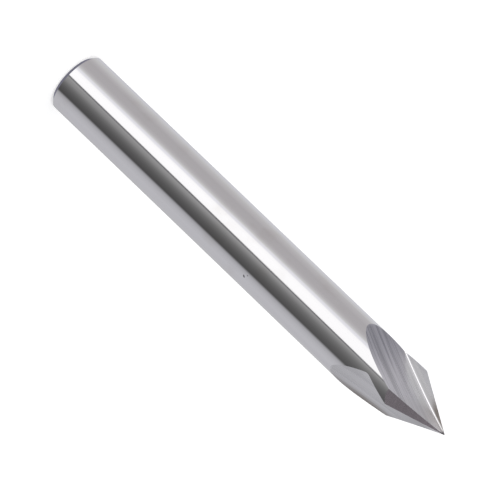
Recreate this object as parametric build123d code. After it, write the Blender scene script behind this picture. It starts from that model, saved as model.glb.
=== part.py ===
from build123d import *
import math
import os

# A solid tungsten-carbide V groove router bit with three ground flutes.
# Millimetres, +Z up.  The bit stands on the flat end of its shank with the
# point straight up, and the origin is at the middle of that flat end.
# One cutting edge lies halfway between +X and +Y, the others at equal turns.

# Blank: one cylinder of carbide, pointed at one end.
shank_diameter = 6.35
overall_length = 50.8
point_angle = 60.0
shank_chamfer = 0.25
tip_flat = 0.10

# Flutes: each is the track of a thin grinding wheel.  The flat side of the
# wheel makes the rake face and its rim makes the floor.
flute_count = 3
first_edge_azimuth = 45.0
radial_rake = 28.0
root_angle = 12.25
root_fillet = 0.15
point_web = 0.05
wheel_radius = 76.2
wheel_rim_taper = 1.8
wheel_station = 5.1
wheel_overrun = 3.0

# Relief: one flat land behind each cutting edge of the cone.
relief_angle = 22.4

# Working values that follow from the sizes above.
shank_radius = shank_diameter / 2
half_angle = math.radians(point_angle / 2)
cone_height = shank_radius / math.tan(half_angle)
cone_lost = tip_flat / 2 / math.tan(half_angle)
cone_point = Vector(0, 0, overall_length + cone_lost)
shoulder_height = overall_length + cone_lost - cone_height
outside = shank_diameter + wheel_overrun
# At the cone's point the wheel's rounded corner stays this web away from the
# axis, so that the three flutes leave a solid tip.  The sharp corner, before
# it is rounded, would reach a little beyond the axis.
corner_overcut = root_fillet - math.sqrt((point_web + root_fillet) ** 2 - root_fillet**2)


def ground_blank():
    """Revolve the shank, its chamfered end and the cone."""
    profile = Polyline(
        (0, 0),
        (shank_radius - shank_chamfer, 0),
        (shank_radius, shank_chamfer),
        (shank_radius, shoulder_height),
        (tip_flat / 2, overall_length),
        (0, overall_length),
        close=True,
    )
    section = Plane.XZ * make_face(profile)
    return revolve(section, Axis.Z)


def rake_directions():
    """Directions in the rake face of a cutting edge that lies at azimuth 0.

    Returns the way the root runs from the point, the way out of the flute
    within the rake face, and the way that the rake face looks.
    """
    rake = math.radians(radial_rake)
    edge = Vector(math.sin(half_angle), 0, -math.cos(half_angle))
    chord = Vector(math.cos(rake), math.sin(rake), 0)
    facing = chord.cross(edge).normalized()
    edge_out = edge.cross(facing)
    if edge_out.dot(chord) < 0:
        edge_out = edge_out * -1
    lean = math.radians(root_angle)
    root = edge * math.cos(lean) - edge_out * math.sin(lean)
    root_out = edge_out * math.cos(lean) + edge * math.sin(lean)
    return root, root_out, facing


def grinding_wheel():
    """The wheel in its deepest position in the flute at azimuth 0."""
    root, root_out, facing = rake_directions()
    rise_at_point = wheel_radius - math.sqrt(wheel_radius**2 - wheel_station**2)
    depth = rise_at_point + corner_overcut
    centre = cone_point + root * wheel_station + root_out * (wheel_radius - depth)
    inner = wheel_radius - outside
    width = outside
    drop = width * math.tan(math.radians(wheel_rim_taper))
    corners = [(inner, 0), (wheel_radius, 0), (wheel_radius - drop, width), (inner, width)]
    face = make_face(Polyline(*corners, close=True))
    corner = face.vertices().sort_by_distance((wheel_radius, 0))[0]
    face = fillet(corner, root_fillet)
    # The wheel's section is drawn along the radius to the deepest point, and
    # turned only as far as the flute is long.
    seat = Plane(origin=centre, x_dir=root_out * -1, z_dir=(root_out * -1).cross(facing))
    axle = Axis(centre, facing)
    reach = wheel_station + cone_height + 3 * shank_diameter
    half_turn = math.degrees(math.asin(min(1, reach / wheel_radius)))
    section = (seat * face).rotate(axle, -half_turn)
    return revolve(section, axle, 2 * half_turn)


def relief_slab():
    """What the relief grind takes off behind the cutting edge at azimuth 0."""
    relief = math.radians(relief_angle)
    cone_normal = Vector(math.cos(half_angle), 0, math.sin(half_angle))
    ahead = Vector(0, 1, 0)
    land_normal = cone_normal * math.cos(relief) - ahead * math.sin(relief)
    edge = Vector(math.sin(half_angle), 0, -math.cos(half_angle))
    side = 4 * shank_diameter
    seat = Plane(origin=cone_point, x_dir=edge, z_dir=land_normal)
    slab = Box(side, side, outside, align=(Align.CENTER, Align.CENTER, Align.MIN))
    return seat * slab


bit = ground_blank()
wheel = grinding_wheel()
slab = relief_slab()
for number in range(flute_count):
    azimuth = first_edge_azimuth + number * 360 / flute_count
    bit -= wheel.rotate(Axis.Z, azimuth)
    bit -= slab.rotate(Axis.Z, azimuth)

os.makedirs("parts", exist_ok=True)
export_step(bit, "parts/v_groove_bit.step")
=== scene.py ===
"""A solid carbide V groove router bit, standing on the end of its shank.

The blank is turned from a few named sizes, three flutes are ground with a
thin wheel and a flat land is ground behind each cutting edge, all in one
geometry node tree.  Metres, +Z up, the point of the bit on top.
"""

import math

import bpy
from mathutils import Matrix, Vector


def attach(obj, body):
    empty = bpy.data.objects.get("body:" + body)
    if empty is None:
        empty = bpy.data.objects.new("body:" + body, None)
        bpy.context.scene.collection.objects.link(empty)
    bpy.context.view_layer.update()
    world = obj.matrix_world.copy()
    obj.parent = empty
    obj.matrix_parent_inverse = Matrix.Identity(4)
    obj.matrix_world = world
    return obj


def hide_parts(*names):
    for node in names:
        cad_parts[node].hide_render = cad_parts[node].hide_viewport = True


bl_info = {
    "name": "V groove router bit",
    "version": (1, 0, 0),
    "blender": (4, 5, 0),
    "location": "3D View > Sidebar > Router bit",
    "description": "Grinds a solid carbide V groove router bit and sets it in a small studio",
    "category": "Add Mesh",
}

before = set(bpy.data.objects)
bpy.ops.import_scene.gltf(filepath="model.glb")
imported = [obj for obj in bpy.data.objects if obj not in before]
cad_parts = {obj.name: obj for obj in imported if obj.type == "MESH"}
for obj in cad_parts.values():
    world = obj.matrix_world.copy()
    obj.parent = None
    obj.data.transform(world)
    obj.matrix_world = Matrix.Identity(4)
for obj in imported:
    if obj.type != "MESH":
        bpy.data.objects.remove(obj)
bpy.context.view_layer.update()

CAD_NODE = "v_groove_bit"
BIT_NAME = "ground_carbide_bit"
MM = 0.001

# What a face of the bit was made by, kept on the faces while they are cut.
BLANK, RAKE, FLOOR, CORNER, LAND = 1, 2, 4, 8, 16

# How finely the blank, the wheel's track and its rounded corner are divided.
AROUND_BLANK, TRACK_POINTS, CORNER_POINTS = 240, 241, 12
# Points closer than this are welded, in metres.
WELD = 1e-6
# Faces that meet at a larger angle than this get a crisp edge.
CREASE = math.radians(20)
# On the map of the grinding lines each flute has its own stretch of this
# length, in millimetres, with the wheel's deepest point in its middle.
MAP_STEP = 50.0


# ---------------------------------------------------------------- settings


class BitSizes(bpy.types.PropertyGroup):
    """Sizes of the bit and of the grinding that makes its flutes."""

    shank_diameter: bpy.props.FloatProperty(
        name="Shank diameter", description="Diameter that the collet grips",
        default=6.35 * MM, min=1 * MM, unit="LENGTH", precision=5)
    overall_length: bpy.props.FloatProperty(
        name="Overall length", description="From the end of the shank to the point",
        default=50.8 * MM, min=10 * MM, unit="LENGTH", precision=5)
    point_angle: bpy.props.FloatProperty(
        name="Point angle", description="Full angle of the V that the bit cuts",
        default=math.radians(60), min=math.radians(10), max=math.radians(150),
        subtype="ANGLE")
    tip_flat: bpy.props.FloatProperty(
        name="Tip flat", description="Width of the blunt at the very point",
        default=0.10 * MM, min=0.01 * MM, unit="LENGTH", precision=5)
    shank_chamfer: bpy.props.FloatProperty(
        name="Shank chamfer", description="Chamfer round the end of the shank",
        default=0.38 * MM, min=0.01 * MM, unit="LENGTH", precision=5)
    flutes: bpy.props.IntProperty(
        name="Flutes", description="Number of flutes and cutting edges",
        default=3, min=1, max=6)
    first_edge: bpy.props.FloatProperty(
        name="First edge", description="Azimuth of the first cutting edge",
        default=math.radians(45), subtype="ANGLE")
    radial_rake: bpy.props.FloatProperty(
        name="Radial rake", description="How far a rake face leans from a radius",
        default=math.radians(28), subtype="ANGLE")
    root_angle: bpy.props.FloatProperty(
        name="Root angle", description="Between the root of a flute and its cutting edge",
        default=math.radians(12.25), subtype="ANGLE")
    root_fillet: bpy.props.FloatProperty(
        name="Root fillet", description="Radius on the corner of the grinding wheel",
        default=0.15 * MM, min=0.01 * MM, unit="LENGTH", precision=5)
    point_web: bpy.props.FloatProperty(
        name="Point web", description="What the flutes leave round the axis at the point",
        default=0.05 * MM, min=0.0, unit="LENGTH", precision=5)
    wheel_radius: bpy.props.FloatProperty(
        name="Wheel radius", description="Radius of the grinding wheel",
        default=76.2 * MM, min=20 * MM, unit="LENGTH", precision=5)
    wheel_taper: bpy.props.FloatProperty(
        name="Wheel taper", description="Taper of the rim of the wheel",
        default=math.radians(1.8), subtype="ANGLE")
    wheel_station: bpy.props.FloatProperty(
        name="Wheel station", description="From the point to where the wheel is deepest",
        default=5.1 * MM, unit="LENGTH", precision=5)
    wheel_overrun: bpy.props.FloatProperty(
        name="Wheel overrun", description="How far the wheel reaches past the bit",
        default=3 * MM, unit="LENGTH", precision=5)
    relief_angle: bpy.props.FloatProperty(
        name="Relief angle", description="Of the flat land behind a cutting edge",
        default=math.radians(22.4), subtype="ANGLE")


class BitFinish(bpy.types.PropertyGroup):
    """Colours of the ground and polished carbide."""

    carbide: bpy.props.FloatVectorProperty(
        name="Carbide", description="Colour of clean polished carbide",
        subtype="COLOR", size=3, min=0, max=1, default=(0.600, 0.592, 0.600))
    stain: bpy.props.FloatVectorProperty(
        name="Stain", description="Colour of the faint warm stains from handling",
        subtype="COLOR", size=3, min=0, max=1, default=(0.470, 0.440, 0.415))
    # Also the dark colour of the painted reflection at a flute's run-out.
    scratch_and_shade: bpy.props.FloatVectorProperty(
        name="Scratch", description="Colour of the deeper grinding lines",
        subtype="COLOR", size=3, min=0, max=1, default=(0.200, 0.207, 0.262))
    rake: bpy.props.FloatVectorProperty(
        name="Rake", description="Neutral grey of the flat rake faces",
        subtype="COLOR", size=3, min=0, max=1, default=(0.492, 0.490, 0.481))
    # Painted highlight: brighter than the carbide, for the flute roots and the strip beside
    # them.
    root_highlight: bpy.props.FloatVectorProperty(
        name="Highlight", description="Colour of the bright strip along a flute's root",
        subtype="COLOR", size=3, min=0, max=1, default=(0.800, 0.790, 0.800))
    coarse: bpy.props.FloatVectorProperty(
        name="Coarse grind", description="Cool colour of the most coarsely ground flute",
        subtype="COLOR", size=3, min=0, max=1, default=(0.610, 0.606, 0.648))
    brown_tint: bpy.props.FloatVectorProperty(
        name="Brown", description="Brownish colour of the used part of a cutting edge",
        subtype="COLOR", size=3, min=0, max=1, default=(0.250, 0.227, 0.208))
    land: bpy.props.FloatVectorProperty(
        name="Land", description="Purplish grey of the fine ground relief lands",
        subtype="COLOR", size=3, min=0, max=1, default=(0.500, 0.445, 0.490))
    speck: bpy.props.FloatVectorProperty(
        name="Speck", description="Colour of the tiny dark specks and the dulled tip",
        subtype="COLOR", size=3, min=0, max=1, default=(0.060, 0.055, 0.060))


class StudioLook(bpy.types.PropertyGroup):
    """The floor, the wall of soft panels round the bit and the camera."""

    floor_colour: bpy.props.FloatVectorProperty(
        name="Floor", description="Colour of the plain pale floor",
        subtype="COLOR", size=3, min=0, max=1, default=(0.86, 0.86, 0.86))
    floor_lift: bpy.props.FloatProperty(
        name="Floor lift", description="How much nearer to white the camera sees the floor",
        default=0.50, min=0, max=1)
    panel_strength: bpy.props.FloatProperty(
        name="Panels", description="Strength of the soft panels round the bit",
        default=1.0, min=0)
    lens: bpy.props.FloatProperty(
        name="Lens", description="Focal length of the camera in millimetres",
        default=447.57, min=10)


# ------------------------------------------------------------ node helpers


def add_node(tree, kind, inputs=None, **settings):
    """Add one node; inputs are values or the sockets they are linked from."""
    node = tree.nodes.new(kind)
    for name, value in settings.items():
        setattr(node, name, value)
    for key, value in (inputs or {}).items():
        socket = node.inputs[key]
        for one in value if isinstance(value, list) else [value]:
            if isinstance(one, bpy.types.NodeSocket):
                tree.links.new(one, socket)
            else:
                socket.default_value = one
    return node


def group_input(tree, name, kind, default=None):
    """Declare a named input of a node group."""
    socket = tree.interface.new_socket(name, in_out="INPUT", socket_type=kind)
    if default is not None:
        socket.default_value = default
    return socket


def group_output(tree, name, kind):
    """Declare a named output of a node group."""
    return tree.interface.new_socket(name, in_out="OUTPUT", socket_type=kind)


class Sums:
    """Short names for the arithmetic nodes of one tree."""

    def __init__(self, tree):
        self.tree = tree

    def do(self, operation, a, b=None, c=None):
        """One step of arithmetic on up to three numbers."""
        values = {i: v for i, v in enumerate((a, b, c)) if v is not None}
        node = add_node(self.tree, "ShaderNodeMath", values, operation=operation)
        return node.outputs[0]

    def vector(self, operation, a, b=None, scale=None):
        """One step of arithmetic on vectors or colours."""
        values = {0: a}
        if b is not None:
            values[1] = b
        if scale is not None:
            values["Scale"] = scale
        node = add_node(self.tree, "ShaderNodeVectorMath", values, operation=operation)
        return node.outputs["Value" if operation == "DISTANCE" else "Vector"]

    def split(self, vector):
        """The three parts of a vector."""
        return add_node(self.tree, "ShaderNodeSeparateXYZ", {0: vector}).outputs

    def join(self, x=0.0, y=0.0, z=0.0):
        """A vector from its three parts."""
        return add_node(self.tree, "ShaderNodeCombineXYZ", {0: x, 1: y, 2: z}).outputs[0]

    def map(self, value, low, high, to_low=0.0, to_high=1.0, smooth=False):
        """Stretch one range of a number to another and hold it at both ends."""
        node = add_node(self.tree, "ShaderNodeMapRange", {
            "Value": value, "From Min": low, "From Max": high,
            "To Min": to_low, "To Max": to_high},
            interpolation_type="SMOOTHSTEP" if smooth else "LINEAR", clamp=True)
        return node.outputs[0]

    def mix_colour(self, factor, a, b):
        """Mix two colours; the factor 1 gives the second."""
        node = add_node(self.tree, "ShaderNodeMix", {"Factor": factor}, data_type="RGBA")
        for socket, colour in ((node.inputs[6], a), (node.inputs[7], b)):
            if isinstance(colour, bpy.types.NodeSocket):
                self.tree.links.new(colour, socket)
            else:
                socket.default_value = (*colour[:3], 1.0)
        return node.outputs[2]


# ------------------------------------------------------------ the bit: shape


def grinding_depth(sizes):
    """How far the wheel's deepest point lies below the line through the point."""
    rise = sizes.wheel_radius - math.sqrt(sizes.wheel_radius**2 - sizes.wheel_station**2)
    fillet, web = sizes.root_fillet, sizes.point_web
    return rise + fillet - math.sqrt((web + fillet)**2 - fillet**2)


def grinding_setup(sizes):
    """Where the wheel and the relief grind stand for an edge at azimuth 0."""
    half = sizes.point_angle / 2
    radius = sizes.shank_diameter / 2
    point = Vector((0, 0, sizes.overall_length + sizes.tip_flat / 2 / math.tan(half)))
    shoulder = point.z - radius / math.tan(half)
    edge = Vector((math.sin(half), 0, -math.cos(half)))
    chord = Vector((math.cos(sizes.radial_rake), math.sin(sizes.radial_rake), 0))
    facing = chord.cross(edge).normalized()
    edge_out = edge.cross(facing)
    if edge_out.dot(chord) < 0:
        edge_out.negate()
    lean = sizes.root_angle
    root = edge * math.cos(lean) - edge_out * math.sin(lean)
    root_out = edge_out * math.cos(lean) + edge * math.sin(lean)
    centre = (point + root * sizes.wheel_station
              + root_out * (sizes.wheel_radius - grinding_depth(sizes)))
    width = sizes.shank_diameter + sizes.wheel_overrun
    reach = sizes.wheel_station + radius / math.tan(half) + 3 * sizes.shank_diameter
    cone_normal = Vector((math.cos(half), 0, math.sin(half)))
    land_normal = (cone_normal * math.cos(sizes.relief_angle)
                   - Vector((0, 1, 0)) * math.sin(sizes.relief_angle))
    return {
        "Shank Radius": radius,
        "Overall Length": sizes.overall_length,
        "Shoulder Height": shoulder,
        "Tip Radius": sizes.tip_flat / 2,
        "Shank Chamfer": sizes.shank_chamfer,
        "Flutes": sizes.flutes,
        "First Edge": sizes.first_edge,
        "Root Fillet": sizes.root_fillet,
        "Wheel Radius": sizes.wheel_radius,
        "Wheel Width": width,
        "Wheel Rim Drop": width * math.tan(sizes.wheel_taper),
        "Wheel Half Turn": math.asin(min(1, reach / sizes.wheel_radius)),
        "Wheel Centre": centre,
        "Wheel Axle": facing,
        "Wheel Deep Side": -root_out,
        "Cone Point": point,
        "Cutting Edge": edge,
        "Land Normal": land_normal,
    }


def turned_blank(tree, given, sums):
    """Chamfered end, plain shank and cone, joined into one closed skin."""
    cone_height = sums.do("SUBTRACT", given["Overall Length"], given["Shoulder Height"])
    end_radius = sums.do("SUBTRACT", given["Shank Radius"], given["Shank Chamfer"])
    shank_height = sums.do("SUBTRACT", given["Shoulder Height"], given["Shank Chamfer"])
    rings = (
        ("NGON", "Top", end_radius, given["Shank Radius"], given["Shank Chamfer"], 0.0),
        ("NONE", None, given["Shank Radius"], given["Shank Radius"], shank_height,
         given["Shank Chamfer"]),
        ("NGON", "Bottom", given["Shank Radius"], given["Tip Radius"], cone_height,
         given["Shoulder Height"]),
    )
    parts = []
    for fill, open_end, low, high, depth, base in rings:
        cone = add_node(tree, "GeometryNodeMeshCone", {
            "Vertices": AROUND_BLANK, "Radius Bottom": low, "Radius Top": high,
            "Depth": depth}, fill_type=fill)
        mesh = cone.outputs["Mesh"]
        if open_end:
            mesh = add_node(tree, "GeometryNodeDeleteGeometry", {
                "Geometry": mesh, "Selection": cone.outputs[open_end]},
                domain="FACE").outputs[0]
        parts.append(add_node(tree, "GeometryNodeTransform", {
            "Geometry": mesh, "Translation": sums.join(z=base)}).outputs[0])
    joined = add_node(tree, "GeometryNodeJoinGeometry", {"Geometry": parts})
    return add_node(tree, "GeometryNodeMergeByDistance", {
        "Geometry": joined.outputs[0], "Distance": WELD}).outputs[0]


def marked(tree, mesh, name, value, domain="FACE", kind="INT"):
    """Keep a number on the faces or corners of a mesh."""
    return add_node(tree, "GeometryNodeStoreNamedAttribute", {
        "Geometry": mesh, "Name": name, "Value": value},
        data_type=kind, domain=domain).outputs[0]


def wheel_sector(tree, given, sums, seat):
    """The part of the grinding wheel that meets the bit, in its deepest place."""
    across = sums.do("MULTIPLY", given["Wheel Width"], -1.0)
    inward = sums.do("MULTIPLY", given["Wheel Rim Drop"], -1.0)
    profile = add_node(tree, "GeometryNodeCurvePrimitiveQuadrilateral", {
        "Point 1": (0, 0, 0),
        "Point 2": sums.join(inward, across),
        "Point 3": sums.join(across, across),
        "Point 4": sums.join(across, 0.0)}, mode="POINTS")
    index = add_node(tree, "GeometryNodeInputIndex").outputs[0]
    at_corner = sums.do("LESS_THAN", index, 0.5)
    rounded = add_node(tree, "GeometryNodeFilletCurve", {
        "Curve": profile.outputs[0], "Count": CORNER_POINTS,
        "Radius": sums.do("MULTIPLY", at_corner, given["Root Fillet"])}, mode="POLY")
    track = add_node(tree, "GeometryNodeCurveArc", {
        "Resolution": TRACK_POINTS, "Radius": given["Wheel Radius"],
        "Start Angle": sums.do("MULTIPLY", given["Wheel Half Turn"], -1.0),
        "Sweep Angle": sums.do("MULTIPLY", given["Wheel Half Turn"], 2.0)})
    solid = add_node(tree, "GeometryNodeCurveToMesh", {
        "Curve": track.outputs["Curve"], "Profile Curve": rounded.outputs[0],
        "Fill Caps": True}).outputs[0]
    solid = add_node(tree, "GeometryNodeFlipFaces", {"Mesh": solid}).outputs[0]
    # In the wheel's own frame the flat side looks straight down and the rim a
    # little up; the rounded corner is what lies between them.
    looks = sums.split(add_node(tree, "GeometryNodeInputNormal").outputs[0])["Z"]
    on_side = sums.do("LESS_THAN", looks, -0.9995)
    on_rim = sums.do("GREATER_THAN", looks, 0.0)
    kind = sums.do("ADD", sums.do("MULTIPLY", on_side, float(RAKE - CORNER)),
                   sums.do("MULTIPLY_ADD", on_rim, float(FLOOR - CORNER), float(CORNER)))
    solid = marked(tree, solid, "surface", kind)
    return add_node(tree, "GeometryNodeTransform", {
        "Geometry": solid, "Translation": given["Wheel Centre"],
        "Rotation": seat}).outputs[0]


def relief_slab(tree, given, sums, seat):
    """The block that the relief grind takes off behind a cutting edge."""
    side = sums.do("MULTIPLY", given["Shank Radius"], 8.0)
    block = add_node(tree, "GeometryNodeMeshCube", {
        "Size": sums.join(side, side, given["Wheel Width"])}).outputs[0]
    block = marked(tree, block, "surface", LAND)
    lift = sums.vector("SCALE", given["Land Normal"],
                       scale=sums.do("MULTIPLY", given["Wheel Width"], 0.5))
    return add_node(tree, "GeometryNodeTransform", {
        "Geometry": block, "Rotation": seat,
        "Translation": sums.vector("ADD", given["Cone Point"], lift)}).outputs[0]


def seat_rotation(tree, main, other):
    """Rotation that turns local Z to one direction and local X to another."""
    return add_node(tree, "FunctionNodeAxesToRotation", {
        "Primary Axis": main, "Secondary Axis": other},
        primary_axis="Z", secondary_axis="X").outputs[0]


def named_value(tree, name):
    """Read back a number that was kept on the faces."""
    return add_node(tree, "GeometryNodeInputNamedAttribute", {"Name": name},
                    data_type="INT").outputs["Attribute"]


def turned_to(tree, sums, given, number):
    """Azimuth of the cutting edge with this number."""
    step = sums.do("DIVIDE", 2 * math.pi, given["Flutes"])
    return sums.do("MULTIPLY_ADD", number, step, given["First Edge"])


def grinding_map(tree, given, sums, mesh, wheel_seat, land_seat):
    """A flat map of each ground face: x along the grinding lines, y across."""
    flute = named_value(tree, "flute")
    surface = named_value(tree, "surface")
    back = sums.do("MULTIPLY", turned_to(tree, sums, given, flute), -1.0)
    unturn = add_node(tree, "FunctionNodeAxisAngleToRotation", {
        "Axis": (0, 0, 1), "Angle": back}).outputs[0]
    place = add_node(tree, "FunctionNodeRotateVector", {
        "Vector": add_node(tree, "GeometryNodeInputPosition").outputs[0],
        "Rotation": unturn}).outputs[0]

    def seen_from(origin, seat):
        unseat = add_node(tree, "FunctionNodeInvertRotation", {0: seat}).outputs[0]
        return sums.split(add_node(tree, "FunctionNodeRotateVector", {
            "Vector": sums.vector("SUBTRACT", place, origin),
            "Rotation": unseat}).outputs[0])

    x, y, z = seen_from(given["Wheel Centre"], wheel_seat)
    reach = sums.do("SQRT", sums.do("ADD", sums.do("MULTIPLY", x, x),
                                    sums.do("MULTIPLY", y, y)))
    along = sums.do("MULTIPLY", sums.do("ARCTAN2", y, x), given["Wheel Radius"])
    across = sums.do("ADD", z, sums.do("SUBTRACT", given["Wheel Radius"], reach))
    down, over, _ = seen_from(given["Cone Point"], land_seat)
    is_land = sums.do("COMPARE", surface, float(LAND), 0.5)
    spread = sums.do("MULTIPLY", flute, MAP_STEP * MM)
    wheel_map = sums.join(sums.do("ADD", along, spread), across)
    land_map = sums.join(sums.do("ADD", over, spread), down)
    chosen = add_node(tree, "GeometryNodeSwitch", {
        "Switch": is_land, "False": wheel_map, "True": land_map},
        input_type="VECTOR").outputs[0]
    in_mm = sums.vector("SCALE", chosen, scale=1 / MM)
    return marked(tree, mesh, "grinding", in_mm, domain="CORNER", kind="FLOAT2")


def crisp_edges(tree, sums, mesh):
    """Smooth faces, apart from crisp edges where they meet at a large angle."""
    angle = add_node(tree, "GeometryNodeInputMeshEdgeAngle").outputs["Unsigned Angle"]
    smooth = add_node(tree, "GeometryNodeSetShadeSmooth", {
        "Geometry": mesh, "Shade Smooth": True}, domain="FACE").outputs[0]
    return add_node(tree, "GeometryNodeSetShadeSmooth", {
        "Geometry": smooth, "Selection": sums.do("GREATER_THAN", angle, CREASE),
        "Shade Smooth": False}, domain="EDGE").outputs[0]


def bit_tree(values, finishes):
    """The geometry node tree that turns and grinds the bit."""
    tree = bpy.data.node_groups.new("Ground V bit", "GeometryNodeTree")
    tree.is_modifier = True
    group_output(tree, "Geometry", "NodeSocketGeometry")
    for name, value in values.items():
        kind = ("NodeSocketInt" if isinstance(value, int) else
                "NodeSocketVector" if isinstance(value, Vector) else "NodeSocketFloat")
        group_input(tree, name, kind)
    for name in finishes:
        group_input(tree, name, "NodeSocketMaterial")
    given = add_node(tree, "NodeGroupInput").outputs
    sums = Sums(tree)
    wheel_seat = seat_rotation(tree, given["Wheel Axle"], given["Wheel Deep Side"])
    land_seat = seat_rotation(tree, given["Land Normal"], given["Cutting Edge"])
    wheel = wheel_sector(tree, given, sums, wheel_seat)
    slab = relief_slab(tree, given, sums, land_seat)
    blank = marked(tree, turned_blank(tree, given, sums), "surface", BLANK)

    start = tree.nodes.new("GeometryNodeRepeatInput")
    end = tree.nodes.new("GeometryNodeRepeatOutput")
    start.pair_with_output(end)
    tree.links.new(given["Flutes"], start.inputs["Iterations"])
    tree.links.new(blank, start.inputs["Geometry"])
    azimuth = turned_to(tree, sums, given, start.outputs["Iteration"])
    ground = start.outputs["Geometry"]
    for cutter in (wheel, slab):
        cutter = marked(tree, cutter, "flute", start.outputs["Iteration"])
        turned = add_node(tree, "GeometryNodeTransform", {
            "Geometry": cutter, "Rotation": sums.join(z=azimuth)}).outputs[0]
        ground = add_node(tree, "GeometryNodeMeshBoolean", {
            "Mesh 1": ground, "Mesh 2": turned},
            operation="DIFFERENCE", solver="EXACT").outputs[0]
    tree.links.new(ground, end.inputs["Geometry"])
    closed = add_node(tree, "GeometryNodeMergeByDistance", {
        "Geometry": end.outputs["Geometry"], "Distance": WELD}).outputs[0]

    mapped = grinding_map(tree, given, sums, closed, wheel_seat, land_seat)
    done = crisp_edges(tree, sums, mapped)
    surface = named_value(tree, "surface")
    for name, kind in finishes.items():
        done = add_node(tree, "GeometryNodeSetMaterial", {
            "Geometry": done, "Material": given[name],
            "Selection": sums.do("COMPARE", surface, float(kind), 0.5)}).outputs[0]
    add_node(tree, "NodeGroupOutput", {"Geometry": done})
    return tree


def evaluated_piece(name, tree, values):
    """Run a tree on an empty mesh and return the result as a plain object."""
    holder = bpy.data.objects.new(name + "_holder", bpy.data.meshes.new(name + "_holder"))
    bpy.context.scene.collection.objects.link(holder)
    modifier = holder.modifiers.new("Nodes", "NODES")
    modifier.node_group = tree
    for item in tree.interface.items_tree:
        if item.item_type == "SOCKET" and item.in_out == "INPUT":
            modifier[item.identifier] = values[item.name]
    bpy.context.view_layer.update()
    graph = bpy.context.evaluated_depsgraph_get()
    mesh = bpy.data.meshes.new_from_object(holder.evaluated_get(graph))
    bpy.data.objects.remove(holder)
    mesh.name = name
    # The tree leaves an empty slot in front of its finishes.
    for slot in reversed(range(len(mesh.materials))):
        if mesh.materials[slot] is None:
            mesh.materials.pop(index=slot)
    piece = bpy.data.objects.new(name, mesh)
    bpy.context.scene.collection.objects.link(piece)
    return piece


# --------------------------------------------------------- the bit: finishes


def grinding_lines_group():
    """Lines that a wheel leaves: long along x of the map and fine across y."""
    tree = bpy.data.node_groups.new("Grinding lines", "ShaderNodeTree")
    group_input(tree, "Map", "NodeSocketVector")
    group_input(tree, "Lines per mm", "NodeSocketFloat", 4.0)
    group_input(tree, "Length in mm", "NodeSocketFloat", 6.0)
    group_input(tree, "Seed", "NodeSocketFloat", 0.0)
    group_output(tree, "Height", "NodeSocketFloat")
    group_output(tree, "Streaks", "NodeSocketFloat")
    group_output(tree, "Deep Lines", "NodeSocketFloat")
    given = add_node(tree, "NodeGroupInput").outputs
    sums = Sums(tree)
    x, y, z = sums.split(given["Map"])
    per_length = sums.do("DIVIDE", 1.0, given["Length in mm"])
    depth = sums.do("MULTIPLY_ADD", z, per_length, given["Seed"])

    def lines(times, seed):
        place = sums.join(sums.do("MULTIPLY", x, per_length),
                          sums.do("MULTIPLY", y, sums.do("MULTIPLY", given["Lines per mm"],
                                                         times)),
                          sums.do("ADD", depth, seed))
        return add_node(tree, "ShaderNodeTexNoise", {
            "Vector": place, "Scale": 1.0, "Detail": 2.0, "Roughness": 0.6}).outputs[0]

    broad, middle, fine = lines(0.35, 1.7), lines(1.0, 5.3), lines(3.1, 9.1)
    height = sums.do("MULTIPLY_ADD", broad, 0.5,
                     sums.do("MULTIPLY_ADD", middle, 0.35, sums.do("MULTIPLY", fine, 0.15)))
    streaks = sums.do("MULTIPLY_ADD", broad, 0.30,
                      sums.do("MULTIPLY_ADD", middle, 0.42, sums.do("MULTIPLY", fine, 0.28)))
    streaks = sums.map(streaks, 0.38, 0.62, smooth=True)
    deep = sums.map(sums.do("MULTIPLY", middle, fine), 0.20, 0.13, smooth=True)
    add_node(tree, "NodeGroupOutput", {
        "Height": height, "Streaks": streaks, "Deep Lines": deep})
    return tree


# Where the darkening of the tip starts and is full, in metres below the point.
DARK_TIP = 0.50 * MM, 0.15 * MM


def handling_group(overall_length):
    """Faint stains and how far the very tip is darkened, from the place."""
    tree = bpy.data.node_groups.new("Handling marks", "ShaderNodeTree")
    group_input(tree, "Place", "NodeSocketVector")
    group_output(tree, "Stain", "NodeSocketFloat")
    group_output(tree, "Dark Tip", "NodeSocketFloat")
    given = add_node(tree, "NodeGroupInput").outputs
    sums = Sums(tree)
    cloud = add_node(tree, "ShaderNodeTexNoise", {
        "Vector": given["Place"], "Scale": 230.0, "Detail": 4.0,
        "Roughness": 0.55}).outputs[0]
    z = sums.split(given["Place"])["Z"]
    start, full = (overall_length - below for below in DARK_TIP)
    add_node(tree, "NodeGroupOutput", {
        "Stain": sums.map(cloud, 0.54, 0.74, smooth=True),
        "Dark Tip": sums.map(z, start, full, smooth=True)})
    return tree


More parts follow.
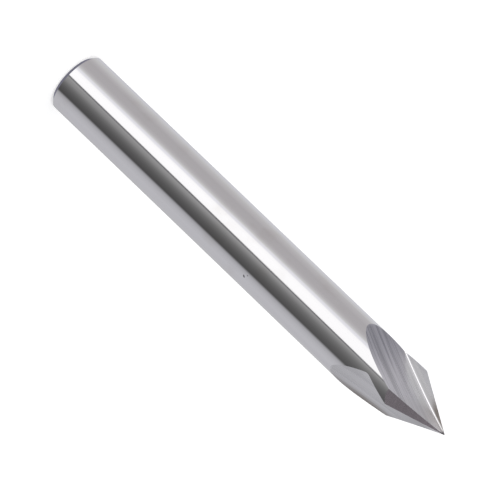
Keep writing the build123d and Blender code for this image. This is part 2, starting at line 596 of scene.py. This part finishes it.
class Finish:
    """A new carbide material with its marks, ready for one surface's colours."""

    def __init__(self, name, look, groups, map_of=None):
        self.material = bpy.data.materials.new(name)
        self.material.use_nodes = True
        self.tree = self.material.node_tree
        self.shader = self.tree.nodes["Principled BSDF"]
        self.shader.inputs["Metallic"].default_value = 1.0
        self.look = look
        self.sums = Sums(self.tree)
        self.place = add_node(self.tree, "ShaderNodeTexCoord").outputs["Object"]
        if map_of is None:
            flat = add_node(self.tree, "ShaderNodeUVMap", uv_map="grinding").outputs[0]
        else:
            flat = map_of(self.sums, self.place)
        self.along, self.across, _ = self.sums.split(flat)
        self.lines = add_node(self.tree, "ShaderNodeGroup", {}, node_tree=groups["lines"])
        self.hands = add_node(self.tree, "ShaderNodeGroup", {}, node_tree=groups["hands"])
        self.tree.links.new(flat, self.lines.inputs["Map"])
        self.tree.links.new(self.place, self.hands.inputs["Place"])

    def ground(self, per_mm, length, seed=0.0):
        """How close and how long the grinding lines are."""
        self.lines.inputs["Lines per mm"].default_value = per_mm
        self.lines.inputs["Length in mm"].default_value = length
        self.lines.inputs["Seed"].default_value = seed

    def mark(self, name):
        """One mask of the grinding lines or of the handling marks."""
        group = self.lines if name in self.lines.outputs else self.hands
        return group.outputs[name]

    def in_flute(self):
        """Place along the wheel's track, in mm from its deepest point to the tip."""
        return self.sums.do("WRAP", self.along, MAP_STEP / 2, -MAP_STEP / 2)

    def finished(self, colour, rough, depth, rougher=None):
        """Close the material with its colour, roughness range and line depth."""
        # The very tip is darkened towards the speck colour.
        darkened = self.sums.mix_colour(
            self.sums.do("MULTIPLY", self.mark("Dark Tip"), 0.75), colour, self.look.speck)
        self.tree.links.new(darkened, self.shader.inputs["Base Color"])
        roughness = self.sums.map(self.mark("Height"), 0.3, 0.7, *rough)
        if rougher is not None:
            roughness = self.sums.do("ADD", roughness, rougher)
        self.tree.links.new(roughness, self.shader.inputs["Roughness"])
        bump = add_node(self.tree, "ShaderNodeBump", {
            "Height": self.mark("Height"), "Distance": depth, "Strength": 1.0})
        self.tree.links.new(bump.outputs[0], self.shader.inputs["Normal"])
        return self.material

    def stained(self, colour, amount):
        """The colour with faint warm stains."""
        return self.sums.mix_colour(self.sums.do("MULTIPLY", self.mark("Stain"), amount),
                                    colour, self.look.stain)

    def scored(self, colour, amount):
        """The colour with the deeper grinding lines."""
        return self.sums.mix_colour(self.sums.do("MULTIPLY", self.mark("Deep Lines"), amount),
                                    colour, self.look.scratch_and_shade)


# The flute with this number shows the coarsest grinding, and only it gets the painted dark
# reflection at its run-out.
COARSE_FLUTE = 1
# Where a flute's floor changes its look, as start and end of each change.
# Along the flute, in millimetres from the wheel's deepest point to the tip:
RUN_OUT_DARKENS = -0.5, -6.0
STREAKS_DEEPEN = 3.0, -4.0
BROWN_GROWS = -6.0, -3.5
ROOT_BRIGHTENS = -4.6, -2.6
TIPWARD_DULLS = -2.5, 0.5
ROOT_BRIGHTEST = 1.2, 3.2
COOL_FADES = 3.8, 0.5
TIP_LIGHTENS = 1.0, 2.6
TIP_ROUGHENS = 0.8, 2.6
# and across it, in millimetres from the root:
NEXT_TO_ROOT = 1.6, 0.3
NEXT_TO_OTHER_EDGE = 3.6, 4.8


def flute_finish(look, groups):
    """Hollow floor of a flute: coarse streaks that are deepest at the run-out, with a painted
    dark reflection there and a painted highlight along the root.
    """
    finish = Finish("Ground flute floor", look, groups)
    finish.ground(per_mm=3.4, length=12.0, seed=63.1)
    sums = finish.sums
    along = finish.in_flute()
    from_coarse = sums.do(
        "ABSOLUTE", sums.do("SUBTRACT", finish.along, MAP_STEP * COARSE_FLUTE))
    coarse = sums.map(from_coarse, 0.6 * MAP_STEP, 0.4 * MAP_STEP)

    # Streaks, on the cooler tone of the coarse flute.
    cool = sums.do("MULTIPLY", coarse, sums.map(along, *COOL_FADES, 0.2, 1.0))
    plain = finish.stained(sums.mix_colour(cool, look.carbide, look.coarse), 0.12)
    contrast = sums.do("MULTIPLY", sums.map(along, *STREAKS_DEEPEN, 0.10, 0.26),
                       sums.map(coarse, 0.0, 1.0, 0.30, 1.0))
    shade = sums.do("MULTIPLY_ADD", finish.mark("Streaks"), 2.0, -1.0)
    streaky = sums.vector("SCALE", plain,
                          scale=sums.do("MULTIPLY_ADD", shade, contrast, 1.0))

    # The run-out is darker, a painted dark reflection, and the strip next to the root is
    # brighter, a painted highlight.
    run_out_shade = sums.do("MULTIPLY", sums.map(along, *RUN_OUT_DARKENS, smooth=True),
                      sums.do("MULTIPLY", coarse, 0.46))
    dark = sums.mix_colour(run_out_shade, streaky, look.scratch_and_shade)
    near_root = sums.do("MULTIPLY", sums.map(finish.across, *NEXT_TO_ROOT, smooth=True),
                        sums.map(along, *ROOT_BRIGHTENS, smooth=True))
    # Painted highlight: the strip next to the root is mixed towards the bright root colour.
    bright = sums.mix_colour(
        sums.do("MULTIPLY", near_root, sums.map(along, *ROOT_BRIGHTEST, 0.40, 1.0)),
        dark, look.root_highlight)

    # Duller towards the tip, apart from the coarse flute, and lighter at the tip.
    lift = sums.do("MULTIPLY_ADD", sums.map(along, *TIPWARD_DULLS),
                   sums.map(coarse, 0.0, 1.0, -0.08, 0.0),
                   sums.map(along, *TIP_LIGHTENS, 1.0, 1.12))
    lifted = sums.vector("SCALE", bright, scale=lift)
    scored = finish.scored(lifted, sums.do("MULTIPLY", contrast, 1.4))

    # Brownish tint along the back of the next edge.
    far_side = sums.do("MULTIPLY", sums.map(finish.across, *NEXT_TO_OTHER_EDGE, smooth=True),
                       sums.map(coarse, 0.0, 1.0, 0.95, 0.0))
    far_side = sums.do("MULTIPLY", far_side, sums.map(along, *BROWN_GROWS, 0.6, 1.0))
    return finish.finished(sums.mix_colour(far_side, scored, look.brown_tint),
                           (0.20, 0.36), 0.0020 * MM,
                           rougher=sums.map(along, *TIP_ROUGHENS, 0.0, 0.28))


# Where the brownish tint of a rake face starts and is full: in millimetres from the tip
# for the strip along its edge and for its whole width, and how wide the strip is.
EDGE_BROWNS, FACE_BROWNS, BROWN_STRIP = (4.2, 2.3), (3.2, 1.8), (0.85, 0.30)


def rake_finish(look, groups, sizes):
    """Flat side of a flute, brownish along the edge towards the tip."""
    finish = Finish("Ground rake face", look, groups)
    finish.ground(per_mm=7.0, length=5.0)
    sums = finish.sums
    along = finish.in_flute()
    # Where the cutting edge runs on the map, as its height above the track.
    wheel, station = sizes.wheel_radius / MM, sizes.wheel_station / MM
    depth = grinding_depth(sizes) / MM
    from_tip = sums.do("SUBTRACT", station, along)
    edge = sums.do("MULTIPLY_ADD", from_tip, math.tan(sizes.root_angle), depth)
    edge = sums.do("SUBTRACT", edge, sums.do(
        "MULTIPLY", sums.do("MULTIPLY", along, along), 0.5 / wheel))
    inside = sums.do("SUBTRACT", edge, finish.across)
    cloud = add_node(finish.tree, "ShaderNodeTexNoise", {
        "Vector": finish.place, "Scale": 900.0, "Detail": 3.0}).outputs[0]
    ragged = sums.do("MULTIPLY_ADD", cloud, 0.8, -0.4)
    tipward = sums.do("ADD", from_tip, ragged)
    at_edge = sums.map(sums.do("ADD", inside, sums.do("MULTIPLY", ragged, 0.5)),
                       *BROWN_STRIP, smooth=True)
    browned = sums.do("MULTIPLY", sums.map(tipward, *EDGE_BROWNS, smooth=True),
                   sums.do("MAXIMUM", at_edge, sums.map(tipward, *FACE_BROWNS, smooth=True)))
    colour = finish.scored(finish.stained(look.rake, 0.15), 0.15)
    return finish.finished(sums.mix_colour(browned, colour, look.brown_tint),
                           (0.14, 0.22), 0.0004 * MM)


# Where the brownish tint of a flute's root starts and is full, in millimetres
# from the wheel's deepest point, and where a land darkens away from its edge.
ROOT_BROWNS, LAND_DARKENS = (2.6, 5.0), (0.8, 4.0)


def root_finish(look, groups):
    """Small fillet between the flat and the floor of a flute, with a painted highlight: a
    colour brighter than the carbide.
    """
    finish = Finish("Ground flute root", look, groups)
    finish.ground(per_mm=8.0, length=7.0)
    browned = finish.sums.map(finish.in_flute(), *ROOT_BROWNS, 0.0, 0.55)
    colour = finish.sums.mix_colour(browned, look.root_highlight, look.brown_tint)
    return finish.finished(finish.scored(colour, 0.10), (0.14, 0.20), 0.0002 * MM)


def land_finish(look, groups):
    """Narrow relief land behind a cutting edge, ground fine."""
    finish = Finish("Ground relief land", look, groups)
    finish.ground(per_mm=7.0, length=4.0)
    shaded = finish.sums.vector(
        "SCALE", finish.stained(look.land, 0.20),
        scale=finish.sums.map(finish.across, *LAND_DARKENS, 1.16, 0.98))
    return finish.finished(finish.scored(shaded, 0.15), (0.15, 0.23), 0.0003 * MM)


# Tiny dark specks on the shank: where each lies and its radius, in millimetres.
SPECKS = (((1.40, -2.85, 26.61), 0.080), ((1.48, -2.81, 26.69), 0.090),
          ((1.11, -2.97, 26.97), 0.050))


def shank_finish(look, groups):
    """Centreless ground and polished carbide with fine rings round it."""

    def rings(sums, place):
        """Lines that run round the shank and lie side by side along it."""
        x, y, z = sums.split(sums.vector("SCALE", place, scale=1 / MM))
        return sums.join(x, z, y)

    finish = Finish("Polished shank", look, groups, rings)
    finish.ground(per_mm=9.0, length=9.0)
    sums = finish.sums
    spots = 0.0
    for spot, radius in SPECKS:
        away = sums.vector("DISTANCE", finish.place, Vector(spot) * MM)
        spots = sums.do("MAXIMUM", spots, sums.map(
            away, 1.4 * radius * MM, 0.5 * radius * MM, smooth=True))
    colour = sums.mix_colour(spots, finish.stained(look.carbide, 0.25), look.speck)
    return finish.finished(colour, (0.035, 0.055), 0.00012 * MM)


class ROUTERBIT_OT_grind(bpy.types.Operator):
    """Turn the blank, grind its flutes and relief, and give it its finishes"""

    bl_idname = "routerbit.grind"
    bl_label = "Grind the bit"

    def execute(self, context):
        sizes, look = context.scene.bit_sizes, context.scene.bit_finish
        groups = {"lines": grinding_lines_group(),
                  "hands": handling_group(sizes.overall_length)}
        finishes = {
            "Shank Finish": (BLANK, shank_finish(look, groups)),
            "Rake Finish": (RAKE, rake_finish(look, groups, sizes)),
            "Flute Finish": (FLOOR, flute_finish(look, groups)),
            "Root Finish": (CORNER, root_finish(look, groups)),
            "Land Finish": (LAND, land_finish(look, groups)),
        }
        values = grinding_setup(sizes)
        tree = bit_tree(values, {n: kind for n, (kind, _) in finishes.items()})
        values.update({n: material for n, (_, material) in finishes.items()})
        bit = evaluated_piece(BIT_NAME, tree, values)
        if not bit.data.polygons:
            raise RuntimeError("the node tree made no faces for the bit")
        for name in ("surface", "flute"):
            bit.data.attributes.remove(bit.data.attributes[name])
        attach(bit, "root")
        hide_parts(CAD_NODE)
        return {"FINISHED"}


# ----------------------------------------------------------------- the stage

# The soft panels that stand round the bit: how far each tone is from the
# camera's side, counted anticlockwise from above, its strength and its tint.
WARM, COOL, PLAIN = (1.0, 0.97, 0.99), (0.978, 0.980, 1.032), (1.0, 1.0, 1.0)
PANELS = (
    (-180, 0.60, PLAIN), (-162, 0.76, COOL), (-146, 0.87, COOL), (-122, 0.82, PLAIN),
    (-104, 0.715, WARM), (-90, 0.65, WARM), (-63, 0.67, WARM), (-53, 0.75, WARM),
    (-47, 0.87, PLAIN), (-43, 1.03, PLAIN), (-40, 1.24, COOL), (-35.5, 1.28, COOL),
    (-30, 1.60, PLAIN), (-20, 1.66, PLAIN), (2.1, 1.63, PLAIN), (4.3, 0.17, COOL),
    (6.4, 0.23, COOL), (9.4, 0.50, PLAIN), (12, 0.48, PLAIN), (16.5, 0.41, PLAIN),
    (23.4, 0.31, PLAIN), (30, 0.237, PLAIN), (38, 0.183, PLAIN), (46, 0.148, PLAIN),
    (60.5, 0.110, PLAIN), (63.2, 0.15, PLAIN), (69.6, 0.56, COOL), (75, 0.65, COOL),
    (84, 0.745, COOL), (102, 0.80, COOL), (133, 0.75, COOL), (180, 0.60, PLAIN),
)
# How much of the ring's own tone each height shows, and the plain tone that
# stands in for the rest: the pale table, nothing, and a soft top panel.
PALE, BLACK, TOP = (0.90,) * 3, (0.0,) * 3, (1.25,) * 3
HEIGHTS = (
    (-90, 0.3, PALE), (-28, 0.3, PALE), (-23, 1.0, PALE), (-19, 1.0, PALE),
    (-17, 0.955, PALE), (-12, 0.955, PALE), (-5, 1.0, BLACK), (8, 0.62, BLACK),
    (48, 0.62, BLACK), (60, 0.0, TOP), (90, 0.0, TOP),
)
# Two soft cards below the ring, as sides and heights in degrees, how soft
# their edges are and their tone: a white one that the flute roots mirror, and a
# dark one at the back, which runs on past 180 degrees and so has no far edge.
WHITE_CARD = ((-30, 16), (-42, -25)), 4.0, (1.5, 1.5, 1.5)
DARK_CARD = ((147, 400), (-84, -26)), 9.0, (0.260, 0.260, 0.330)
# The panels' main edge leans: its side, how far it moves sideways for each
# degree up, the height it turns about and half the stretch that it leans over,
# and how far from the edge the lean fades out and is full.
MAIN_EDGE, EDGE_LEAN, LEAN_HEIGHT, LEAN_HALF, LEAN_REACH = 3.0, 2.2, -19.4, 3, (16.0, 8.0)
CAMERA_PLACE = Vector((-0.17474857, -0.52434900, 0.21452055))
CAMERA_RIGHT = Vector((-0.58230231, 0.44152841, 0.68262485))
CAMERA_UP = Vector((-0.75592508, 0.01493161, -0.65448782))
CAMERA_BACK = Vector((-0.29916766, -0.89712302, 0.32506770))


def fill_ramp(node, stops):
    """Give a colour ramp its stops, as pairs of place and colour."""
    elements = node.color_ramp.elements
    for number, (place, colour) in enumerate(stops):
        element = elements[number] if number < 2 else elements.new(place)
        element.position = place
        element.color = (*colour, 1.0)


def soft_card(sums, side, height, under, card):
    """Lay a soft-edged card between two sides and two heights on what is under it."""
    limits, soft, tone = card
    masks = []
    for value, (low, high) in zip((side, height), limits):
        masks.append(sums.map(value, low - soft, low + soft, smooth=True))
        masks.append(sums.map(value, high + soft, high - soft, smooth=True))
    while len(masks) > 1:
        masks.append(sums.do("MULTIPLY", masks.pop(0), masks.pop(0)))
    return sums.mix_colour(masks[0], under, tone)


def panel_world(look):
    """A ring of soft panels for the metal to mirror, white to the camera."""
    world = bpy.data.worlds.new("Soft panels")
    world.use_nodes = True
    tree = world.node_tree
    background = tree.nodes["Background"]
    sums = Sums(tree)
    way = add_node(tree, "ShaderNodeTexCoord").outputs["Generated"]
    x, y, z = sums.split(way)
    camera_side = math.atan2(CAMERA_PLACE.y, CAMERA_PLACE.x)
    turn = sums.do("DIVIDE", sums.do("SUBTRACT", sums.do("ARCTAN2", y, x), camera_side),
                   2 * math.pi)
    side = sums.do("MULTIPLY_ADD", sums.do("FRACT", sums.do("ADD", turn, 1.5)), 360.0, -180.0)
    height = sums.do("MULTIPLY", sums.do("ARCSINE", z), 180 / math.pi)
    from_edge = sums.do("ABSOLUTE", sums.do("SUBTRACT", side, MAIN_EDGE))
    above = sums.map(height, LEAN_HEIGHT - LEAN_HALF, LEAN_HEIGHT + LEAN_HALF,
                     -LEAN_HALF * EDGE_LEAN, LEAN_HALF * EDGE_LEAN)
    lean = sums.do("MULTIPLY", above, sums.map(from_edge, *LEAN_REACH, smooth=True))
    leaned = sums.do("SUBTRACT", side, lean)
    ramp = add_node(tree, "ShaderNodeValToRGB", {
        "Fac": sums.do("MULTIPLY_ADD", leaned, 1 / 360, 0.5)})
    fill_ramp(ramp, [((angle + 180) / 360, [strength * part for part in tint])
                     for angle, strength, tint in PANELS])
    own, plain = (add_node(tree, "ShaderNodeValToRGB", {
        "Fac": sums.do("MULTIPLY_ADD", height, 1 / 180, 0.5)}) for _ in range(2))
    fill_ramp(own, [((angle + 90) / 180, [share] * 3) for angle, share, _ in HEIGHTS])
    fill_ramp(plain, [((angle + 90) / 180, tone) for angle, _, tone in HEIGHTS])
    # What shows is the ring's share of its own tone and the plain tone's rest.
    shown = sums.vector("MULTIPLY", ramp.outputs["Color"], own.outputs["Color"])
    rest = sums.vector("MULTIPLY", plain.outputs["Color"], sums.vector(
        "SUBTRACT", (1.0, 1.0, 1.0), own.outputs["Color"]))
    ring = sums.vector("ADD", shown, rest)
    lit = soft_card(sums, side, height, ring, WHITE_CARD)
    lit = soft_card(sums, sums.do("ABSOLUTE", side), height, lit, DARK_CARD)
    tree.links.new(lit, background.inputs["Color"])
    background.inputs["Strength"].default_value = look.panel_strength
    seen = add_node(tree, "ShaderNodeBackground", {
        "Color": (1.0, 1.0, 1.0, 1.0), "Strength": 1.0})
    camera_ray = add_node(tree, "ShaderNodeLightPath").outputs["Is Camera Ray"]
    mixed = add_node(tree, "ShaderNodeMixShader", {
        0: camera_ray, 1: background.outputs[0], 2: seen.outputs[0]})
    tree.links.new(mixed.outputs[0], tree.nodes["World Output"].inputs["Surface"])
    return world


def studio_floor(look):
    """A wide pale floor that the metal doesn't mirror."""
    half = 6.0
    mesh = bpy.data.meshes.new("studio_floor")
    mesh.from_pydata([(-half, -half, 0), (half, -half, 0), (half, half, 0),
                      (-half, half, 0)], [], [(0, 1, 2, 3)])
    floor = bpy.data.objects.new("studio_floor", mesh)
    bpy.context.scene.collection.objects.link(floor)
    floor.visible_glossy = False
    material = bpy.data.materials.new("Pale floor")
    material.use_nodes = True
    tree = material.node_tree
    shader = tree.nodes["Principled BSDF"]
    shader.inputs["Base Color"].default_value = (*look.floor_colour, 1.0)
    shader.inputs["Roughness"].default_value = 0.9
    shader.inputs["Specular IOR Level"].default_value = 0.0
    shader.inputs["Emission Color"].default_value = (1.0, 1.0, 1.0, 1.0)
    sums = Sums(tree)
    camera_ray = add_node(tree, "ShaderNodeLightPath").outputs["Is Camera Ray"]
    tree.links.new(sums.do("MULTIPLY", camera_ray, look.floor_lift),
                   shader.inputs["Emission Strength"])
    mesh.materials.append(material)


def studio_camera(look):
    """The camera, rolled so that the standing bit lies across the picture."""
    camera = bpy.data.objects.new("camera", bpy.data.cameras.new("camera"))
    camera.data.lens = look.lens
    camera.data.sensor_width = 36.0
    turn = Matrix((CAMERA_RIGHT, CAMERA_UP, CAMERA_BACK)).transposed()
    camera.matrix_world = Matrix.Translation(CAMERA_PLACE) @ turn.to_4x4()
    bpy.context.scene.collection.objects.link(camera)
    bpy.context.scene.camera = camera


class ROUTERBIT_OT_stage(bpy.types.Operator):
    """Lay the floor, light the panels and place the camera"""

    bl_idname = "routerbit.stage"
    bl_label = "Set the stage"

    def execute(self, context):
        look = context.scene.bit_studio
        context.scene.world = panel_world(look)
        studio_floor(look)
        studio_camera(look)
        context.scene.view_settings.view_transform = "Standard"
        return {"FINISHED"}


class ROUTERBIT_PT_panel(bpy.types.Panel):
    """Sizes, finishes and the two steps that make the bit and its stage"""

    bl_label = "Router bit"
    bl_idname = "ROUTERBIT_PT_panel"
    bl_space_type = "VIEW_3D"
    bl_region_type = "UI"
    bl_category = "Router bit"

    def draw(self, context):
        layout = self.layout
        scene = context.scene
        for group in (scene.bit_sizes, scene.bit_finish, scene.bit_studio):
            box = layout.box()
            for name in group.__annotations__:
                box.prop(group, name)
        layout.operator(ROUTERBIT_OT_grind.bl_idname)
        layout.operator(ROUTERBIT_OT_stage.bl_idname)


CLASSES = (BitSizes, BitFinish, StudioLook, ROUTERBIT_OT_grind, ROUTERBIT_OT_stage,
           ROUTERBIT_PT_panel)
SETTINGS = (("bit_sizes", BitSizes), ("bit_finish", BitFinish), ("bit_studio", StudioLook))


def register():
    """Make the settings, the two steps and their panel known."""
    for item in CLASSES:
        bpy.utils.register_class(item)
    for name, group in SETTINGS:
        setattr(bpy.types.Scene, name, bpy.props.PointerProperty(type=group))


def unregister():
    """Take them away again."""
    for name, _ in SETTINGS:
        delattr(bpy.types.Scene, name)
    for item in reversed(CLASSES):
        bpy.utils.unregister_class(item)


def main():
    """Grind the bit and set the stage."""
    register()
    bpy.ops.routerbit.grind()
    bpy.ops.routerbit.stage()
    bpy.context.view_layer.update()


if __name__ == "__main__":
    main()
